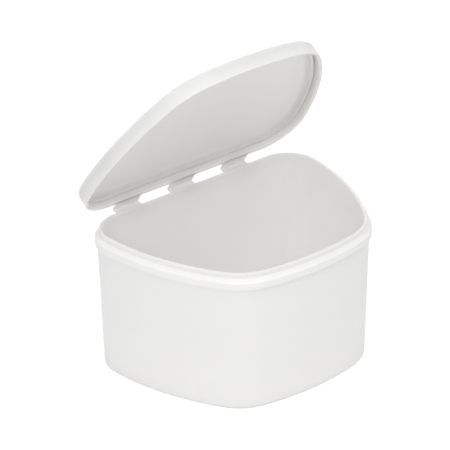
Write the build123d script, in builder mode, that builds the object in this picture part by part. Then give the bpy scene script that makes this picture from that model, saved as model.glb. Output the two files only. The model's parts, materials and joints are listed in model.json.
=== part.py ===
from build123d import *
import os

# Hinged denture case, moulded in one piece: a deep D-shaped tub, a shallow lid and
# three flexible straps that join them. Millimetres. +X runs along the hinge, -Y is the
# rounded front, +Z is up. The origin is the middle of the tub's flat underside, and
# the lid is drawn open, leaning over the tub.

# Plan of the case, at the flange and the lid's skirt
rear_width = 94.2          # between the rear corners before they are rounded
front_width = 56.2         # between the front corners before they are rounded
depth = 69.0               # from the straight rear edge to the middle of the front
side_bow = 6.7             # how far each side bulges from its chord
front_bow = 4.0            # how far the front bulges from its chord
rear_corner_radius = 13.5
front_corner_radius = 20.3

# Tub
case_height = 52.5         # underside to the top of the lip
wall = 1.8
floor = 1.8
draft_run = 1.2            # how far the walls lean in from the flange to the underside
base_edge_radius = 1.5
cavity_foot = 2.0          # slope between the inner wall and the floor
flange_reach = 0.8         # how far the flange stands out from the wall
flange_height = 2.9
flange_bevel = 0.5
lip_thickness = 1.2
lip_height = 1.75
lip_bevel = 0.3
shoulder_drop = 1.3        # height of the slope between the lip and the flange

# Lid
lid_height = 6.0
lid_top = 1.3
lid_edge_radius = 1.7
skirt = 1.2                # thickness of the skirt that closes round the lip
skirt_bevel = 0.4          # lead-in on the skirt's inner edge
rib = 1.2                  # thickness of the rib that lands on the lip
rib_height = 2.6
rib_foot = 0.7              # slope where the rib meets the top of the lid
groove = 0.8               # gap between the skirt and the rib
seat_gap = 0.1             # rib above the lip when the lid is shut

# Hinge straps
open_angle = 55.0          # how far the lid is drawn open
strap_width = 10.7
strap_pitch = 23.7
strap_shift = -1.0         # the row of straps sits this far from the middle of the rear
strap_thickness = 0.8
fold_thickness = 0.5       # the thin web that the strap folds at
strap_drop = 2.8           # middle of the strap below the lip, where it leaves the flange
strap_rise = 0.5           # middle of the strap above the skirt's lower edge
fold_reach = 3.8           # fold behind the rear edge of the flange
fold_drop = 1.9            # fold below the top of the lip

# Moulding gates
gate_diameter = 3.0
gate_depth = 0.3
gate_offset = 4.5          # from the middle towards the hinge, where the melt flows evenly

# Heights and insets that follow from the sizes above
shoulder_top = case_height - lip_height
flange_top = shoulder_top - shoulder_drop
flange_base = flange_top - flange_height
cavity_inset = flange_reach + wall
lip_inset = cavity_inset - lip_thickness
cavity_lean = draft_run * (case_height - floor) / flange_base
rear_edge = depth / 2
lid_room = lid_height - lid_top
skirt_cover = lid_room - rib_height
skirt_seat = case_height + seat_gap - skirt_cover
rib_inset = skirt + groove

# The fold is the hinge axis. The lid's own plane is its skirt's lower edge, turned open.
fold_y = rear_edge + fold_reach
fold_z = case_height - fold_drop
opened = Plane((0, fold_y, fold_z)).rotated((-open_angle, 0, 0))
lid_origin = opened.from_local_coords((0, -fold_y, skirt_seat - fold_z))
lid_plane = Plane(lid_origin, x_dir=opened.x_dir, z_dir=opened.z_dir)
lid_up = Axis(lid_plane.origin, lid_plane.z_dir)

# Plan outline shared by the flange and the skirt
with BuildSketch() as outline:
    with BuildLine():
        front_corner = (front_width / 2, front_bow - rear_edge)
        other_corner = (-front_width / 2, front_bow - rear_edge)
        rear = Line((-rear_width / 2, rear_edge), (rear_width / 2, rear_edge))
        right_side = SagittaArc(rear @ 1, front_corner, side_bow)
        front = SagittaArc(front_corner, other_corner, front_bow)
        left_side = SagittaArc(other_corner, rear @ 0, side_bow)
    make_face()
    fillet(outline.vertices().group_by(Axis.Y)[0], front_corner_radius)
    fillet(outline.vertices().group_by(Axis.Y)[-1], rear_corner_radius)

# The space inside the tub
with BuildPart() as cavity:
    for height, inset in ((floor, cavity_inset + cavity_lean), (case_height, cavity_inset)):
        with BuildSketch(Plane.XY.offset(height)):
            add(outline.sketch)
            offset(amount=-inset)
    loft()
    chamfer(cavity.faces().sort_by(Axis.Z)[0].edges(), cavity_foot)

# The deep tub: leaning walls, a flange with a sloping shoulder, and the lip above it
with BuildPart() as tub:
    for height, inset in ((0, flange_reach + draft_run), (flange_base, flange_reach)):
        with BuildSketch(Plane.XY.offset(height)):
            add(outline.sketch)
            offset(amount=-inset)
    loft()
    fillet(tub.faces().sort_by(Axis.Z)[0].edges(), base_edge_radius)

    with BuildSketch(Plane.XY.offset(flange_base)):
        add(outline.sketch)
    extrude(amount=flange_height + shoulder_drop)
    chamfer(tub.faces().sort_by(Axis.Z)[-1].edges(), shoulder_drop, lip_inset)
    flange_underside = tub.faces().filter_by(Plane.XY).group_by(Axis.Z)[1][0]
    chamfer(flange_underside.outer_wire().edges(), flange_bevel)

    with BuildSketch(Plane.XY.offset(shoulder_top)):
        add(outline.sketch)
        offset(amount=-lip_inset)
    extrude(amount=lip_height)
    add(cavity.part, mode=Mode.SUBTRACT)
    chamfer(tub.faces().sort_by(Axis.Z)[-1].edges(), lip_bevel)

    with BuildSketch(Plane.XY):
        with Locations((0, gate_offset)):
            Circle(gate_diameter / 2)
    extrude(amount=gate_depth, mode=Mode.SUBTRACT)

# The shallow lid: a skirt that closes round the lip and a rib that lands on top of it
with BuildPart() as lid:
    with BuildSketch(lid_plane):
        add(outline.sketch)
    extrude(amount=lid_height)
    fillet(lid.faces().sort_by(lid_up)[-1].edges(), lid_edge_radius)

    with BuildSketch(lid_plane):
        add(outline.sketch)
        offset(amount=-skirt)
    extrude(amount=lid_room, mode=Mode.SUBTRACT)
    skirt_rim = lid.faces().sort_by(lid_up)[0]
    chamfer(skirt_rim.inner_wires().edges(), skirt_bevel)

    with BuildSketch(lid_plane.offset(skirt_cover)):
        add(outline.sketch)
        offset(amount=-rib_inset)
        offset(amount=-rib, mode=Mode.SUBTRACT)
    extrude(amount=rib_height)
    ceiling = lid.faces().filter_by(lid_plane).sort_by(SortBy.AREA)[-2]
    chamfer(ceiling.edges(), rib_foot)

    with BuildSketch(lid_plane.offset(lid_height)):
        with Locations((0, gate_offset)):
            Circle(gate_diameter / 2)
    extrude(amount=-gate_depth, mode=Mode.SUBTRACT)

# One strap per place along the hinge: a leaf from the flange and a leaf from the skirt,
# both thinning to the round web that is the fold
tub_root = (rear_edge - strap_thickness / 2, case_height - strap_drop)
skirt_root = lid_plane.from_local_coords((0, rear_edge - strap_thickness / 2, strap_rise))
straps = []
for place, name in ((-1, "strap_left"), (0, "strap_centre"), (1, "strap_right")):
    strap_start = strap_shift + place * strap_pitch - strap_width / 2
    with BuildPart() as strap:
        for root in (tub_root, (skirt_root.Y, skirt_root.Z)):
            with BuildSketch(Plane.YZ.offset(strap_start)):
                with Locations((fold_y, fold_z)):
                    Circle(fold_thickness / 2)
                with Locations(root):
                    Circle(strap_thickness / 2)
                make_hull()
            extrude(amount=strap_width)
        add(tub.part, mode=Mode.SUBTRACT)
        add(lid.part, mode=Mode.SUBTRACT)
    strap.part.label = name
    straps.append(strap.part)

tub.part.label = "tub"
lid.part.label = "lid"
os.makedirs("parts", exist_ok=True)
for piece in (tub.part, lid.part, *straps):
    export_step(piece, f"parts/{piece.label}.step")
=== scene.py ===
import json
import math

import bpy
import numpy as np
from bpy.props import FloatProperty, FloatVectorProperty, IntProperty, PointerProperty
from bpy.types import Operator, Panel, PropertyGroup
from mathutils import Matrix, Vector


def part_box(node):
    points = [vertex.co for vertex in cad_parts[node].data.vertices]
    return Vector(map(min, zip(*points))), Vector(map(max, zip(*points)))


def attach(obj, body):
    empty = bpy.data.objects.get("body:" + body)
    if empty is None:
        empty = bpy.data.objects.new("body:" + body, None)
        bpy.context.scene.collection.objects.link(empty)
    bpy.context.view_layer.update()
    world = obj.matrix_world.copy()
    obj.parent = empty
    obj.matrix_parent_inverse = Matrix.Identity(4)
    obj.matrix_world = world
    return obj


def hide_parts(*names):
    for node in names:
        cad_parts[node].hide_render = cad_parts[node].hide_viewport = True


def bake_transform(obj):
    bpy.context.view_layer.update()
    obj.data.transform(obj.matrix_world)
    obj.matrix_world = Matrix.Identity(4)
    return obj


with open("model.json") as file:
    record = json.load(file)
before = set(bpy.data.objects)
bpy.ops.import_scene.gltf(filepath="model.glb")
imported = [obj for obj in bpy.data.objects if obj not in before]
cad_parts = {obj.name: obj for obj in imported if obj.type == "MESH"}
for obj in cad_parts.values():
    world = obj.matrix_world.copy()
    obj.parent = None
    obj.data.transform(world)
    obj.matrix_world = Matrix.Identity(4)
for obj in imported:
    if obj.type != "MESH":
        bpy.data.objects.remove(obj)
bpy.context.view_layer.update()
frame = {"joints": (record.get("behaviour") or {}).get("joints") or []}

bl_info = {
    "name": "Hinged Denture Case",
    "version": (1, 0, 0),
    "blender": (4, 5, 0),
    "location": "3D View > Sidebar > Denture Case",
    "description": "Dresses a hinged denture case in milky moulded polypropylene",
    "category": "Object",
}

TUB_LOW, TUB_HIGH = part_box("tub")
HINGE = frame["joints"][0]
FOLD = complex(HINGE["pos_m"][1], HINGE["pos_m"][2])
RING = 0.008          # inset where the walls' rings end and the flat faces' rings begin
REACH = 0.027         # nominal distance from that ring to the middle of a flat face
GATE_RADIUS = 0.0015  # dimple where the melt enters, under the tub and on top of the lid
GATE_DEPTH = 0.0003
GATE_Y = 0.0045       # its middle, from the middle of the case towards the hinge
SHARP_EDGE = 0.00012  # radii of the edges and creases that have no size of their own
SMALL_EDGE = 0.00025
SOFT_EDGE = 0.0003
RIB_EDGE = 0.0005
FULL_BEND = 1500      # radians per metre, over both steps beside a point, of a full edge
WEB_BEND = 0.0003     # radius of the bend in the middle line of a strap
STRAP_EDGE = 0.00015  # radius of a strap's long edges
STRAP_RINGS = 73
FLARE_FROM = 0.8      # share of a leaf's length after which its root flares
FLARE_OVER = 0.2      # share of its length that the flare takes
FLARE_THICKER = 0.5   # share that the flare adds to a root's thickness and width
FLARE_WIDER = 0.04
WHITENING = 2.2       # the whitening round the web ends at 1 / this along a leaf
FLOOR_REACH = 3.0     # half the width of the floor
LAMPS_AIM = (0, 0, 0.04)


# Settings

def length(name, description, default):
    return FloatProperty(
        name=name, description=description, default=default, unit="LENGTH", precision=5
    )


def colour(name, description, default):
    return FloatVectorProperty(
        name=name, description=description, default=default, subtype="COLOR", size=3,
        min=0, max=1,
    )


def share(name, description, default):
    return FloatProperty(
        name=name, description=description, default=default, subtype="FACTOR", min=0, max=1
    )


def power(name, description, default):
    return FloatProperty(name=name, description=description, default=default, unit="POWER")


class CasePlan(PropertyGroup):
    """Plan of the case, which the tub and the lid share"""

    rear_width: length("Rear width", "Between the rear corners before rounding", 0.0942)
    front_width: length("Front width", "Between the front corners before rounding", 0.0562)
    depth: length("Depth", "From the rear edge to the front", TUB_HIGH.y - TUB_LOW.y)
    side_bow: length("Side bow", "How far each side bulges", 0.0067)
    front_bow: length("Front bow", "How far the front bulges", 0.0040)
    rear_corner: length("Rear corner", "Radius of the rear corners", 0.0135)
    front_corner: length("Front corner", "Radius of the front corners", 0.0203)
    steps: IntProperty(name="Steps", description="Points round the plan", default=384)


class TubSizes(PropertyGroup):
    """Section of the tub"""

    height: length("Height", "Underside to the top of the lip", TUB_HIGH.z)
    wall: length("Wall", "Thickness of the walls", 0.0018)
    floor: length("Floor", "Thickness of the floor", 0.0018)
    draft: length("Draft", "How far the walls lean in at the underside", 0.0012)
    base_radius: length("Base edge", "Radius of the edge it stands on", 0.0015)
    foot_radius: length("Inner foot", "Radius where the inner wall meets the floor", 0.0030)
    flange_reach: length("Flange reach", "How far the flange stands out", 0.0008)
    flange_height: length("Flange height", "Height of the flange's edge", 0.0029)
    flange_radius: length("Flange underside", "Radius under the flange", 0.0005)
    lip_thickness: length("Lip", "Thickness of the lip", 0.0012)
    lip_height: length("Lip height", "How far the lip stands up", 0.00175)
    lip_radius: length("Lip edge", "Radius of the lip's edges", 0.00045)
    shoulder_drop: length("Shoulder", "Fall from the lip to the flange", 0.0013)


class LidSizes(PropertyGroup):
    """Section of the lid, and how far it is drawn open"""

    height: length("Height", "Skirt's lower edge to the top", 0.0060)
    top: length("Top", "Thickness of the top", 0.0013)
    edge_radius: length("Top edge", "Radius of the top's edge", 0.0017)
    skirt: length("Skirt", "Thickness of the skirt", 0.0012)
    bevel: length("Lead-in", "Bevel inside the skirt's lower edge", 0.0004)
    rib: length("Rib", "Thickness of the rib that lands on the lip", 0.0012)
    rib_height: length("Rib height", "How far the rib hangs down", 0.0026)
    rib_foot: length("Rib foot", "Radius where the rib meets the top", 0.0018)
    groove: length("Groove", "Gap between the skirt and the rib", 0.0008)
    seat_gap: length("Seat gap", "Rib above the lip when shut", 0.0001)
    open_angle: FloatProperty(
        name="Open angle", description="How far the lid is drawn open",
        default=math.radians(-HINGE["range_deg"][0]), subtype="ANGLE",
    )


class StrapSizes(PropertyGroup):
    """Hinge straps and their places"""

    width: length("Width", "Width of a strap", 0.0107)
    pitch: length("Pitch", "Between the middles of two straps", 0.0237)
    shift: length("Shift", "Middle of the row from the middle of the rear", -0.0010)
    thickness: length("Thickness", "Thickness of a leaf at its root", 0.0008)
    fold: length("Fold", "Thickness of the web that folds", 0.0005)
    drop: length("Drop", "Middle of the strap below the lip at the flange", 0.0028)
    rise: length("Rise", "Middle of the strap above the skirt's lower edge", 0.0005)
    sink: length("Sink", "How far a strap's ends run into the walls", 0.0003)
    bend: length("Bend", "Half the stretch that bends as the lid turns", 0.0011)


class Finish(PropertyGroup):
    """Colours and surface of the plastic"""

    milk: colour("Milk", "Colour of the thick places", (0.938, 0.921, 0.903))
    thin: colour("Thin", "Colour of the thin walls", (0.968, 0.952, 0.935))
    whitened: colour("Whitened", "Colour of the bent web", (0.946, 0.939, 0.925))
    grain: length("Grain", "Size of the mould's fine grain", 0.00035)
    ripple: length("Ripple", "Size of the slow waves in the surface", 0.0140)
    ripple_height: length("Ripple height", "Height of the slow waves", 0.00003)
    cloud: length("Clouds", "Size of the clouds that the flow leaves", 0.009)
    marks: share("Handling marks", "Strength of the hairlines from handling", 0.6)
    scatter: share("Scatter", "Share of the light that enters the plastic", 0.85)
    scatter_depth: length("Scatter depth", "How far light travels inside", 0.0050)


class StageSettings(PropertyGroup):
    """Camera, lamps and floor"""

    azimuth: FloatProperty(
        name="Azimuth", description="Camera left of the front",
        default=math.radians(38.95), subtype="ANGLE",
    )
    elevation: FloatProperty(
        name="Elevation", description="Camera above the horizon",
        default=math.radians(28.032), subtype="ANGLE",
    )
    roll: FloatProperty(
        name="Roll", description="Camera turned about its own axis",
        default=math.radians(-0.661), subtype="ANGLE",
    )
    aim_right: length(
        "Aim right", "Middle of the picture, right of the rear edge", 0.012208)
    aim_up: length("Aim up", "Middle of the picture, above the rear edge", 0.031764)
    distance: length("Distance", "Camera from the rear edge", 1.054945)
    lens: FloatProperty(
        name="Lens", description="Focal length in mm", default=237.766, unit="CAMERA")
    lamp_size: length("Lamp size", "Diameter of either lamp", 1.2)
    left_power: power("Left lamp", "Power of the lamp on the left", 6.4)
    top_power: power("Top lamp", "Power of the lamp above", 6.8)
    room_light: share("Room light", "Level of the plain light from all round", 0.56)
    floor: colour("Floor", "Colour that the floor lights the case with", (0.92, 0.92, 0.92))
    floor_in_sight: colour(
        "Floor in sight", "How much of its light and shadow the floor shows",
        (0.32, 0.32, 0.32))
    floor_glow: share("Floor glow", "Light added to the floor where it is seen", 0.84)


# Shapes

def rounded(corners, radii, closed=False, arc_steps=8, margin=0.00012):
    """A line through corners, points as complex numbers, with arcs at the corners.

    An arc's centre lies on the corner's bisector, radius / sin(half the opening) from the
    corner, and the arc starts radius / tan(half the opening) along either side. The runs
    between the arcs have points a margin from each end and at their quarters. An open line
    keeps its two end points.
    """
    corners, radii = np.asarray(corners, complex), np.asarray(radii, float)
    if closed:
        before, here, after = np.roll(corners, 1), corners, np.roll(corners, -1)
    else:
        before, here, after = corners[:-2], corners[1:-1], corners[2:]
    to_before = (before - here) / abs(before - here)
    to_after = (after - here) / abs(after - here)
    half = np.angle(to_after / to_before) / 2
    along = radii / np.tan(abs(half))
    centre = here + to_before * np.exp(1j * half) * radii / np.sin(abs(half))
    first, last = here + to_before * along, here + to_after * along
    sweep = np.angle((last - centre) / (first - centre))
    turn = sweep[:, None] * np.linspace(0, 1, arc_steps)
    arcs = centre[:, None] + (first - centre)[:, None] * np.exp(1j * turn)
    if closed:
        leave, arrive = np.roll(last, 1), first
    else:
        leave, arrive = np.append(corners[0], last), np.append(first, corners[-1])
    near = np.clip(margin / abs(arrive - leave), 0, 0.2)[:, None]
    stops = np.hstack((near, np.full_like(near, 0.25), np.full_like(near, 0.5),
                       np.full_like(near, 0.75), 1 - near))
    runs = leave[:, None] + (arrive - leave)[:, None] * stops
    if closed:
        return np.hstack((runs, arcs)).ravel()
    line = np.hstack((runs[:-1], arcs)).ravel()
    return np.concatenate((corners[:1], line, runs[-1], corners[-1:]))


def plan_outline(plan):
    """The plan as (points, outward normals), complex, evenly spaced and anticlockwise.

    Every stretch but the straight rear edge is an arc: a point is the arc's centre plus its
    radius times the outward normal, and the normal turns evenly. A corner's centre is
    (neighbour's radius - corner's radius) from each neighbour's centre, so it touches both.
    The left half mirrors the right one.
    """
    rear, front = plan.depth / 2, plan.front_bow - plan.depth / 2
    chord = complex(plan.front_width / 2, front) - complex(plan.rear_width / 2, rear)
    outward = 1j * chord / abs(chord)
    side_radius = (abs(chord) ** 2 / 4 + plan.side_bow ** 2) / (2 * plan.side_bow)
    middle = complex(plan.rear_width / 2, rear) + chord / 2
    side = middle + outward * (plan.side_bow - side_radius)
    front_radius = (plan.front_width ** 2 / 4 + plan.front_bow ** 2) / (2 * plan.front_bow)
    front_arc = complex(0, front_radius - plan.depth / 2)

    level = rear - plan.rear_corner - side.imag
    sideways = math.sqrt((side_radius - plan.rear_corner) ** 2 - level ** 2)
    rear_corner = side + complex(sideways, level)
    near, far = side_radius - plan.front_corner, front_radius - plan.front_corner
    apart = front_arc - side
    along = (abs(apart) ** 2 + near ** 2 - far ** 2) / (2 * abs(apart))
    across = math.sqrt(near ** 2 - along ** 2)
    front_corner = side + apart / abs(apart) * complex(along, -across)

    centres = np.array([rear_corner, side, front_corner, front_arc])
    radii = np.array([plan.rear_corner, side_radius, plan.front_corner, front_radius])
    angles = np.array([math.pi / 2, np.angle(rear_corner - side),
                       np.angle(front_corner - side), np.angle(front_corner - front_arc),
                       -math.pi / 2])
    ends = rear_corner.real + np.append(0, np.cumsum(radii * -np.diff(angles)))

    half = plan.steps // 2
    gone = (np.arange(half) + 0.5) / half * ends[-1]
    arc = np.searchsorted(ends, gone) - 1
    straight = arc < 0
    turned = angles[arc] - (gone - ends[arc]) / radii[arc]
    normals = np.where(straight, 1j, np.exp(1j * turned))
    points = np.where(straight, gone + 1j * rear, centres[arc] + radii[arc] * normals)
    points = np.concatenate((points, -points.conj()[::-1]))[::-1]
    normals = np.concatenate((normals, -normals.conj()[::-1]))[::-1]
    return points, normals


def carry_round(outline, profile, middle):
    """Rings (rings, steps, 3) of a profile, (inset, height), carried round the plan.

    Down to the inset RING, a point is the outline's point - inset * outward normal. Further
    in, what is left to the middle shrinks to a share f of it, and its length is
    f * (f^2 * own length + (1 - f^2) * REACH): the plan's shape turns into a circle.
    """
    points, normals = outline
    inset, height = profile.real[:, None], profile.imag[:, None]
    wall = points - np.minimum(inset, RING) * normals
    left = 1 - np.maximum(inset - RING, 0) / REACH
    spoke = wall - middle
    spoke_length = left * (left ** 2 * abs(spoke) + (1 - left ** 2) * REACH)
    flat = middle + spoke / abs(spoke) * spoke_length
    plan = np.where(inset > RING, flat, wall)
    return np.stack((plan.real, plan.imag, height + 0 * plan.real), -1)


def opened(points, angle):
    """Points of the shut lid turned about the fold: opening lowers +Y and raises +Z."""
    away = (points[..., 1] + 1j * points[..., 2] - FOLD) * np.exp(-1j * angle) + FOLD
    return np.stack((points[..., 0], away.real, away.imag), -1)


def closed_skin(name, rings, poles, material, masks):
    """A closed mesh: neighbouring rings joined by quads, and a fan to a pole at either end.

    masks holds values per ring, which become point attributes that the material reads.
    """
    count, steps = rings.shape[:2]
    grid = np.arange(count * steps).reshape(count, steps)
    ahead = np.roll(grid, -1, 1)
    quads = np.stack((grid[:-1], ahead[:-1], ahead[1:], grid[1:]), -1).reshape(-1, 4)
    first, last = count * steps, count * steps + 1
    fans = np.vstack((
        np.stack((np.full(steps, first), ahead[0], grid[0]), -1),
        np.stack((np.full(steps, last), grid[-1], ahead[-1]), -1),
    ))
    mesh = bpy.data.meshes.new(name)
    points = np.vstack((rings.reshape(-1, 3), poles))
    mesh.from_pydata(points, [], quads.tolist() + fans.tolist())
    mesh.shade_smooth()
    for mask, per_ring in masks.items():
        values = np.append(np.repeat(per_ring, steps), (per_ring[0], per_ring[-1]))
        layer = mesh.attributes.new(mask, "FLOAT", "POINT")
        layer.data.foreach_set("value", values.astype(np.float32))
    mesh.materials.append(material)
    piece = bpy.data.objects.new(name, mesh)
    bpy.context.scene.collection.objects.link(piece)
    return piece


def edge_mask(profile):
    """How sharply the profile turns outwards at each point: 1 on a small convex edge.

    mask = angle turned / (length of the steps on either side) / FULL_BEND, from 0 to 1.
    """
    step = np.diff(profile)
    turn = np.angle(step[1:] / step[:-1])
    bend = np.clip(turn / (abs(step[1:]) + abs(step[:-1])) / FULL_BEND, 0, 1)
    return np.concatenate(([0], bend, [0]))


# Finishes

def node_group(name, inputs, outputs):
    """An empty shader node group with named sockets: (group, input node, output node)."""
    group = bpy.data.node_groups.new(name, "ShaderNodeTree")
    for label, kind, value in inputs:
        socket = group.interface.new_socket(label, in_out="INPUT", socket_type=kind)
        if value is not None:
            socket.default_value = value
    for label, kind in outputs:
        group.interface.new_socket(label, in_out="OUTPUT", socket_type=kind)
    return group, group.nodes.new("NodeGroupInput"), group.nodes.new("NodeGroupOutput")


def add(tree, kind, values=(), links=(), **settings):
    """A node with its settings, socket values and links into its sockets."""
    node = tree.nodes.new(kind)
    for key, value in settings.items():
        setattr(node, key, value)
    for key, value in dict(values).items():
        node.inputs[key].default_value = value
    for key, source in dict(links).items():
        tree.links.new(source, node.inputs[key])
    return node


def maths(tree, operation, first, second):
    """The result socket of a Math node of two numbers or sockets."""
    node = add(tree, "ShaderNodeMath", operation=operation)
    for slot, value in zip(node.inputs, (first, second)):
        if isinstance(value, bpy.types.NodeSocket):
            tree.links.new(value, slot)
        else:
            slot.default_value = value
    return node.outputs[0]


def seen(tree):
    """1 for a ray from the camera, a mirror or a see-through surface, and 0 otherwise."""
    path = add(tree, "ShaderNodeLightPath")
    total = maths(tree, "MAXIMUM",
                  path.outputs["Is Camera Ray"], path.outputs["Is Glossy Ray"])
    return maths(tree, "MAXIMUM", total, path.outputs["Is Transmission Ray"])


def moulded_relief():
    """Height of a moulded surface: the mould's fine grain over slow shrinkage waves.

    height = grain height * grain noise + ripple height * slow noise, in metres.
    """
    found = bpy.data.node_groups.get("moulded_relief")
    if found:
        return found
    group, source, target = node_group(
        "moulded_relief",
        [("Vector", "NodeSocketVector", None), ("Grain Size", "NodeSocketFloat", 0.0004),
         ("Grain Height", "NodeSocketFloat", 0.000004),
         ("Ripple Size", "NodeSocketFloat", 0.014),
         ("Ripple Height", "NodeSocketFloat", 0.00003)],
        [("Height", "NodeSocketFloat"), ("Grain", "NodeSocketFloat")],
    )
    layers = []
    for size, height, detail in (("Grain Size", "Grain Height", 3),
                                 ("Ripple Size", "Ripple Height", 1)):
        scale = maths(group, "DIVIDE", 1, source.outputs[size])
        noise = add(group, "ShaderNodeTexNoise", {"Detail": detail, "Roughness": 0.55},
                    {"Vector": source.outputs["Vector"], "Scale": scale})
        layers.append((noise, maths(group, "MULTIPLY", noise.outputs["Fac"],
                                    source.outputs[height])))
    total = maths(group, "ADD", layers[0][1], layers[1][1])
    group.links.new(total, target.inputs["Height"])
    group.links.new(layers[0][0].outputs["Fac"], target.inputs["Grain"])
    return group


def melt_flow():
    """Faint clouding from the flow of the melt away from its gate.

    mask = noise at (bearing from the gate * across, distance from it * along, height), so
    that the clouds are drawn out along the flow.
    """
    found = bpy.data.node_groups.get("melt_flow")
    if found:
        return found
    group, source, target = node_group(
        "melt_flow",
        [("Vector", "NodeSocketVector", None), ("Cloud Size", "NodeSocketFloat", 0.009)],
        [("Cloud", "NodeSocketFloat")],
    )
    split = add(group, "ShaderNodeSeparateXYZ", links={0: source.outputs["Vector"]})
    away = add(group, "ShaderNodeVectorMath", links={0: source.outputs["Vector"]},
               operation="LENGTH")
    bearing = maths(group, "ARCTAN2", split.outputs["X"], split.outputs["Y"])
    across, along = 0.035, 0.35
    streak = add(group, "ShaderNodeCombineXYZ", links={
        "X": maths(group, "MULTIPLY", bearing, across),
        "Y": maths(group, "MULTIPLY", away.outputs["Value"], along),
        "Z": split.outputs["Z"],
    })
    noise = add(group, "ShaderNodeTexNoise", {"Detail": 2, "Distortion": 0.4}, {
        "Vector": streak.outputs["Vector"],
        "Scale": maths(group, "DIVIDE", 1, source.outputs["Cloud Size"]),
    })
    group.links.new(noise.outputs["Fac"], target.inputs["Cloud"])
    return group


def handling_marks():
    """Fine hairlines from handling, in two directions.

    mask = amount * patchy noise * the stronger of two bands, each of which falls from 1 to
    0 as |stretched noise - 0.5| grows from 0 to 0.006.
    """
    found = bpy.data.node_groups.get("handling_marks")
    if found:
        return found
    group, source, target = node_group(
        "handling_marks",
        [("Vector", "NodeSocketVector", None), ("Amount", "NodeSocketFloat", 0.5)],
        [("Marks", "NodeSocketFloat")],
    )
    bands = []
    for turn in ((0.3, 0.5, 0.9), (1.2, 0.2, -0.6)):
        turned = add(group, "ShaderNodeMapping",
                     {"Rotation": turn, "Scale": (40, 260, 260)},
                     {"Vector": source.outputs["Vector"]})
        noise = add(group, "ShaderNodeTexNoise", {"Scale": 1.0, "Detail": 1},
                    {"Vector": turned.outputs["Vector"]})
        centred = maths(group, "SUBTRACT", noise.outputs["Fac"], 0.5)
        distance = maths(group, "ABSOLUTE", centred, 0)
        bands.append(add(group, "ShaderNodeMapRange",
                         {"From Min": 0.0, "From Max": 0.006, "To Min": 1, "To Max": 0},
                         {"Value": distance}).outputs["Result"])
    patch = add(group, "ShaderNodeTexNoise", {"Scale": 60.0, "Detail": 1},
                {"Vector": source.outputs["Vector"]})
    faded = add(group, "ShaderNodeMapRange", {"From Min": 0.5, "From Max": 0.68},
                {"Value": patch.outputs["Fac"]})
    both = maths(group, "MAXIMUM", *bands)
    shown = maths(group, "MULTIPLY", both, faded.outputs["Result"])
    group.links.new(maths(group, "MULTIPLY", shown, source.outputs["Amount"]),
                    target.inputs["Marks"])
    return group


def polypropylene(name, finish, place, roughness, grain_height, bent=False):
    """Milky moulded polypropylene: a satin skin over a plastic that lets some light in.

    place is the (location, rotation) of the piece's own axes, so that the pattern lies on
    the lid as it lies on the tub. The colour goes from thin to milk, or to whitened on a
    bent piece, by the piece's mask of thick places plus the clouds. The grain and the marks
    roughen the skin, and edges are smoother.
    """
    grain_rough, mark_rough, edge_smooth, mark_depth = 0.22, 0.12, 0.08, 0.000003
    material = bpy.data.materials.new(name)
    material.use_nodes = True
    tree = material.node_tree
    shader = tree.nodes["Principled BSDF"]
    where = add(tree, "ShaderNodeTexCoord").outputs["Object"]
    local = add(tree, "ShaderNodeMapping", {"Location": place[0], "Rotation": place[1]},
                {"Vector": where}, vector_type="TEXTURE").outputs["Vector"]
    flow = add(tree, "ShaderNodeGroup", node_tree=melt_flow())
    marks = add(tree, "ShaderNodeGroup", node_tree=handling_marks())
    relief = add(tree, "ShaderNodeGroup", node_tree=moulded_relief())
    for node in (flow, marks, relief):
        tree.links.new(local, node.inputs["Vector"])
    flow.inputs["Cloud Size"].default_value = finish.cloud
    marks.inputs["Amount"].default_value = finish.marks
    relief.inputs["Grain Size"].default_value = finish.grain
    relief.inputs["Grain Height"].default_value = grain_height
    relief.inputs["Ripple Size"].default_value = finish.ripple
    relief.inputs["Ripple Height"].default_value = finish.ripple_height

    thick = add(tree, "ShaderNodeAttribute", attribute_name="thick").outputs["Fac"]
    edge = add(tree, "ShaderNodeAttribute", attribute_name="edge").outputs["Fac"]
    cloud = add(tree, "ShaderNodeMapRange",
                {"From Min": 0.3, "From Max": 0.7, "To Min": -0.2, "To Max": 0.2},
                {"Value": flow.outputs["Cloud"]}).outputs["Result"]
    body = add(tree, "ShaderNodeMix", data_type="RGBA")
    body.inputs[6].default_value = (*finish.thin, 1)
    body.inputs[7].default_value = (*(finish.whitened if bent else finish.milk), 1)
    tree.links.new(maths(tree, "ADD", thick, cloud), body.inputs[0])
    tree.links.new(body.outputs[2], shader.inputs["Base Color"])

    grain = maths(tree, "SUBTRACT", relief.outputs["Grain"], 0.5)
    rough = maths(tree, "ADD", roughness, maths(tree, "MULTIPLY", grain, grain_rough))
    scratched = maths(tree, "MULTIPLY", marks.outputs["Marks"], mark_rough)
    rough = maths(tree, "ADD", rough, scratched)
    rough = maths(tree, "SUBTRACT", rough, maths(tree, "MULTIPLY", edge, edge_smooth))
    tree.links.new(rough, shader.inputs["Roughness"])
    height = maths(tree, "SUBTRACT", relief.outputs["Height"],
                   maths(tree, "MULTIPLY", marks.outputs["Marks"], mark_depth))
    bump = add(tree, "ShaderNodeBump", {"Strength": 1.0, "Distance": 1.0},
               {"Height": height})
    tree.links.new(bump.outputs["Normal"], shader.inputs["Normal"])

    shader.inputs["IOR"].default_value = 1.49
    shader.inputs["Subsurface Weight"].default_value = finish.scatter
    shader.inputs["Subsurface Radius"].default_value = (1.0, 1.0, 0.98)
    shader.inputs["Subsurface Scale"].default_value = finish.scatter_depth
    return material


# Operators

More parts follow.
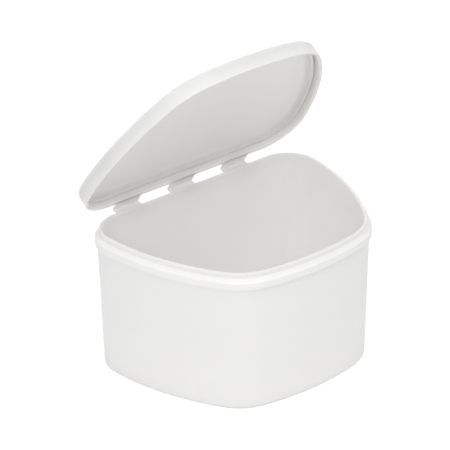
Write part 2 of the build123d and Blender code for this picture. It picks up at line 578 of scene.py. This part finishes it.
class MakeTub(Operator):
    """Make the deep tub with its flange, sloping shoulder and lip"""

    bl_idname = "denture_case.make_tub"
    bl_label = "Make Tub"

    def execute(self, context):
        """Carry the section round the plan.

        It runs from the middle of the underside out and up the wall, round the flange and
        the lip, and down inside to the middle of the floor. The inner wall leans in by the
        draft, in step with the outer one. The plastic counts as thick from the flange up
        and near the floor.
        """
        scene = context.scene
        size, finish = scene.tub_sizes, scene.case_finish
        pole = RING + REACH
        gate = pole - GATE_RADIUS
        inner = size.flange_reach + size.wall
        flange_top = size.height - size.lip_height - size.shoulder_drop
        flange_base = flange_top - size.flange_height
        lean = size.draft * (size.height - size.floor) / flange_base
        corners = (
            complex(pole, GATE_DEPTH),
            complex(gate, GATE_DEPTH),
            complex(gate, 0),
            complex(size.flange_reach + size.draft, 0),
            complex(size.flange_reach, flange_base),
            complex(0, flange_base),
            complex(0, flange_top),
            complex(inner - size.lip_thickness, flange_top + size.shoulder_drop),
            complex(inner - size.lip_thickness, size.height),
            complex(inner, size.height),
            complex(inner + lean, size.floor),
            complex(pole, size.floor),
        )
        radii = (SHARP_EDGE, SHARP_EDGE, size.base_radius, SMALL_EDGE, size.flange_radius,
                 SOFT_EDGE, SMALL_EDGE, size.lip_radius, size.lip_radius, size.foot_radius)
        profile = rounded(corners, radii)
        outline = plan_outline(scene.case_plan)
        rings = carry_round(outline, profile[1:-1], complex(0, GATE_Y))
        poles = [(0, GATE_Y, profile[0].imag), (0, GATE_Y, profile[-1].imag)]
        fade, foot_fade = 0.002, 0.004
        high = np.clip((profile.imag - flange_base + fade / 2) / fade, 0, 1)
        low = np.clip(1 - (profile.imag - size.floor) / foot_fade, 0, 1)
        masks = {"thick": np.maximum(high, low)[1:-1], "edge": edge_mask(profile)[1:-1]}
        place = (0, GATE_Y, 0), (0, 0, 0)
        material = polypropylene("polypropylene_tub", finish, place,
                                 roughness=0.42, grain_height=0.0000035)
        piece = closed_skin("tub_shell", rings, poles, material, masks)
        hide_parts("tub")
        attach(piece, "tub")
        return {"FINISHED"}


class MakeLid(Operator):
    """Make the shallow lid with its skirt, groove and rib, turned open about the fold"""

    bl_idname = "denture_case.make_lid"
    bl_label = "Make Lid"

    def execute(self, context):
        """Carry the section round the plan, shut, and turn the lid open about the fold.

        It runs from the middle of the lid's inside out over the rib, the groove and the
        skirt, and back over the top. Heights count from the skirt's lower edge, which lies
        at seat when the lid is shut. The plastic counts as thick from the rib outwards.
        """
        scene = context.scene
        size, finish = scene.lid_sizes, scene.case_finish
        pole = RING + REACH
        gate = pole - GATE_RADIUS
        room = size.height - size.top
        rib_outer = size.skirt + size.groove
        rib_inner, rib_end = rib_outer + size.rib, room - size.rib_height
        seat = scene.tub_sizes.height + size.seat_gap - rib_end
        corners = (
            complex(pole, room),
            complex(rib_inner, room),
            complex(rib_inner, rib_end),
            complex(rib_outer, rib_end),
            complex(rib_outer, room),
            complex(size.skirt, room),
            complex(size.skirt, size.bevel),
            complex(size.skirt - size.bevel, 0),
            complex(0, 0),
            complex(0, size.height),
            complex(gate, size.height),
            complex(gate, size.height - GATE_DEPTH),
            complex(pole, size.height - GATE_DEPTH),
        )
        radii = (size.rib_foot, RIB_EDGE, RIB_EDGE, SMALL_EDGE, SMALL_EDGE, SOFT_EDGE,
                 SHARP_EDGE, SMALL_EDGE, size.edge_radius, SHARP_EDGE, SHARP_EDGE)
        profile = rounded(corners, radii)
        outline = plan_outline(scene.case_plan)
        rings = carry_round(outline, profile[1:-1], complex(0, GATE_Y))
        poles = np.array([(0, GATE_Y, profile[0].imag), (0, GATE_Y, profile[-1].imag)])
        lift = np.array((0, 0, seat))
        fade = 0.001
        thick = np.clip(1 - (profile.real - rib_inner) / fade, 0, 1)
        masks = {"thick": thick[1:-1], "edge": edge_mask(profile)[1:-1]}
        origin = opened(np.array((0, GATE_Y, seat)), size.open_angle)
        place = tuple(origin), (-size.open_angle, 0, 0)
        material = polypropylene("polypropylene_lid", finish, place,
                                 roughness=0.40, grain_height=0.0000030)
        piece = closed_skin("lid_shell", opened(rings + lift, size.open_angle),
                            opened(poles + lift, size.open_angle), material, masks)
        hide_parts("lid")
        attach(piece, "lid")
        return {"FINISHED"}


class MakeStraps(Operator):
    """Make the three hinge straps, bent at their thin webs to fit the open lid"""

    bl_idname = "denture_case.make_straps"
    bl_label = "Make Straps"

    def execute(self, context):
        """Carry a rounded rectangle along a line with a rounded bend at the fold.

        A leaf's thickness grows evenly from the fold to its root, and flares there by the
        square of the way through the flare. The line runs from the tub's root through the
        fold to the lid's root, which is turned open with the lid, and bends at the fold by
        the web's radius.
        """
        scene = context.scene
        size, tub, lid = scene.strap_sizes, scene.tub_sizes, scene.lid_sizes
        rear = scene.case_plan.depth / 2
        seat = tub.height + lid.seat_gap - (lid.height - lid.top - lid.rib_height)
        tub_root = complex(rear - size.thickness / 2 - size.sink, tub.height - size.drop)
        shut_root = complex(rear - size.thickness / 2 - size.sink, seat + size.rise)
        lid_root = (shut_root - FOLD) * np.exp(-1j * lid.open_angle) + FOLD
        line = rounded((tub_root, FOLD, lid_root), (WEB_BEND,), arc_steps=13)
        passed = np.append(0, np.cumsum(abs(np.diff(line))))
        line = np.interp(np.linspace(0, passed[-1], STRAP_RINGS), passed, line)
        tangent = np.gradient(line)
        across = 1j * tangent / abs(tangent)
        leaf = abs(tub_root - FOLD)
        gone = np.clip(abs(line - FOLD) / leaf, 0, 1)
        thickness = size.fold + (size.thickness - size.fold) * gone
        flare = np.clip((gone - FLARE_FROM) / FLARE_OVER, 0, 1) ** 2
        half = complex(size.width / 2, size.thickness / 2)
        section = rounded((half, half.conjugate(), -half, -half.conjugate()),
                          (STRAP_EDGE,) * 4, closed=True, arc_steps=5, margin=0.0001)
        swell = thickness / size.thickness + FLARE_THICKER * flare
        out = section.imag[None] * swell[:, None]
        spot = line[:, None] + across[:, None] * out
        wide = section.real[None] * (1 + FLARE_WIDER * flare)[:, None]
        rings = np.stack((wide, spot.real, spot.imag), -1)
        ends = line[[0, -1]]
        poles = np.stack((0 * ends.real, ends.real, ends.imag), -1)
        masks = {"thick": np.clip(1 - gone * WHITENING, 0, 1), "edge": 0 * gone}
        place = (0, 0, 0), (0, 0, 0)
        material = polypropylene("polypropylene_strap", scene.case_finish, place,
                                 roughness=0.38, grain_height=0.0000020, bent=True)
        for offset, node in ((-1, "strap_left"), (0, "strap_centre"), (1, "strap_right")):
            middle = np.array((size.shift + offset * size.pitch, 0, 0))
            piece = closed_skin(node + "_band", rings + middle, poles + middle, material,
                                masks)
            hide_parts(node)
            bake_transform(piece)
        return {"FINISHED"}


class SetStage(Operator):
    """Set the pale floor, the soft studio light and the camera"""

    bl_idname = "denture_case.set_stage"
    bl_label = "Set Stage"

    def execute(self, context):
        scene = context.scene
        stage = scene.case_stage
        scene.view_settings.view_transform = "Standard"
        self.place_camera(scene, stage)
        self.lay_floor(scene, stage)
        self.light_world(scene, stage)
        for name, place, energy in (
            ("left", (-1.06, -0.61, 1.03), stage.left_power),
            ("top", (0.0, -0.68, 1.45), stage.top_power),
        ):
            lamp = bpy.data.lights.new(name, "AREA")
            lamp.shape, lamp.size, lamp.energy = "DISK", stage.lamp_size, energy
            lamp_object = bpy.data.objects.new(name, lamp)
            lamp_object.location = place
            aim = Vector(LAMPS_AIM) - Vector(place)
            lamp_object.rotation_euler = aim.to_track_quat("-Z", "Y").to_euler()
            scene.collection.objects.link(lamp_object)
        return {"FINISHED"}

    def place_camera(self, scene, stage):
        """Camera axes from azimuth, elevation and roll, then back along its own axis."""
        sin_a, cos_a = math.sin(stage.azimuth), math.cos(stage.azimuth)
        sin_e, cos_e = math.sin(stage.elevation), math.cos(stage.elevation)
        back = Vector((-sin_a * cos_e, -cos_a * cos_e, sin_e))
        right = (-back).cross(Vector((0, 0, 1))).normalized()
        up = right.cross(-back)
        turn = Matrix.Rotation(stage.roll, 3, back)
        right, up = turn @ right, turn @ up
        camera = bpy.data.objects.new("camera", bpy.data.cameras.new("camera"))
        camera.data.lens, camera.data.sensor_width = stage.lens, 36
        camera.data.clip_start, camera.data.clip_end = 0.05, 20
        rear_edge = Vector((0, scene.case_plan.depth / 2, 0))
        place = rear_edge + right * stage.aim_right + up * stage.aim_up
        axes = Matrix((right, up, back)).transposed().to_4x4()
        camera.matrix_world = Matrix.Translation(place + back * stage.distance) @ axes
        scene.collection.objects.link(camera)
        scene.camera = camera

    def lay_floor(self, scene, stage):
        """A flat sheet; where the camera sees it, it is lifted to the backdrop's white."""
        mesh = bpy.data.meshes.new("floor")
        near, far = -FLOOR_REACH, FLOOR_REACH
        mesh.from_pydata([(near, near, 0), (far, near, 0), (far, far, 0), (near, far, 0)],
                         [], [(0, 1, 2, 3)])
        material = bpy.data.materials.new("floor")
        material.use_nodes = True
        tree = material.node_tree
        tree.nodes.clear()
        in_sight = seen(tree)
        tone = add(tree, "ShaderNodeMix", data_type="RGBA")
        tone.inputs[6].default_value = (*stage.floor, 1)
        tone.inputs[7].default_value = (*stage.floor_in_sight, 1)
        tree.links.new(in_sight, tone.inputs[0])
        diffuse = add(tree, "ShaderNodeBsdfDiffuse", {}, {"Color": tone.outputs[2]})
        glow = add(tree, "ShaderNodeEmission", {"Color": (1, 1, 1, 1)},
                   {"Strength": maths(tree, "MULTIPLY", in_sight, stage.floor_glow)})
        both = add(tree, "ShaderNodeAddShader",
                   links={0: diffuse.outputs[0], 1: glow.outputs[0]})
        add(tree, "ShaderNodeOutputMaterial", links={"Surface": both.outputs[0]})
        mesh.materials.append(material)
        floor = bpy.data.objects.new("floor", mesh)
        scene.collection.objects.link(floor)

    def light_world(self, scene, stage):
        """White where it is seen, mirrored or looked through, and plain grey as light."""
        world = bpy.data.worlds.new("studio")
        world.use_nodes = True
        tree = world.node_tree
        level = add(tree, "ShaderNodeMix", data_type="FLOAT")
        tree.links.new(seen(tree), level.inputs[0])
        level.inputs[2].default_value = stage.room_light
        level.inputs[3].default_value = 1.0
        background = tree.nodes["Background"]
        background.inputs["Color"].default_value = (1, 1, 1, 1)
        tree.links.new(level.outputs[0], background.inputs["Strength"])
        scene.world = world


class CasePanel(Panel):
    """Every setting, and a button for each step"""

    bl_idname = "VIEW3D_PT_denture_case"
    bl_label = "Denture Case"
    bl_space_type = "VIEW_3D"
    bl_region_type = "UI"
    bl_category = "Denture Case"

    def draw(self, context):
        layout = self.layout
        for heading, setting in SETTINGS.items():
            box = layout.box()
            box.label(text=heading.replace("_", " ").title())
            for name in setting.__annotations__:
                box.prop(getattr(context.scene, heading), name)
        for operator in OPERATORS:
            layout.operator(operator.bl_idname)


SETTINGS = {
    "case_plan": CasePlan,
    "tub_sizes": TubSizes,
    "lid_sizes": LidSizes,
    "strap_sizes": StrapSizes,
    "case_finish": Finish,
    "case_stage": StageSettings,
}
OPERATORS = (MakeTub, MakeLid, MakeStraps, SetStage)


def register():
    for kind in (*SETTINGS.values(), *OPERATORS, CasePanel):
        bpy.utils.register_class(kind)
    for name, kind in SETTINGS.items():
        setattr(bpy.types.Scene, name, PointerProperty(type=kind))


def unregister():
    for name in SETTINGS:
        delattr(bpy.types.Scene, name)
    for kind in reversed((*SETTINGS.values(), *OPERATORS, CasePanel)):
        bpy.utils.unregister_class(kind)


def main():
    register()
    bpy.ops.denture_case.make_tub()
    bpy.ops.denture_case.make_lid()
    bpy.ops.denture_case.make_straps()
    bpy.ops.denture_case.set_stage()


if __name__ == "__main__":
    main()
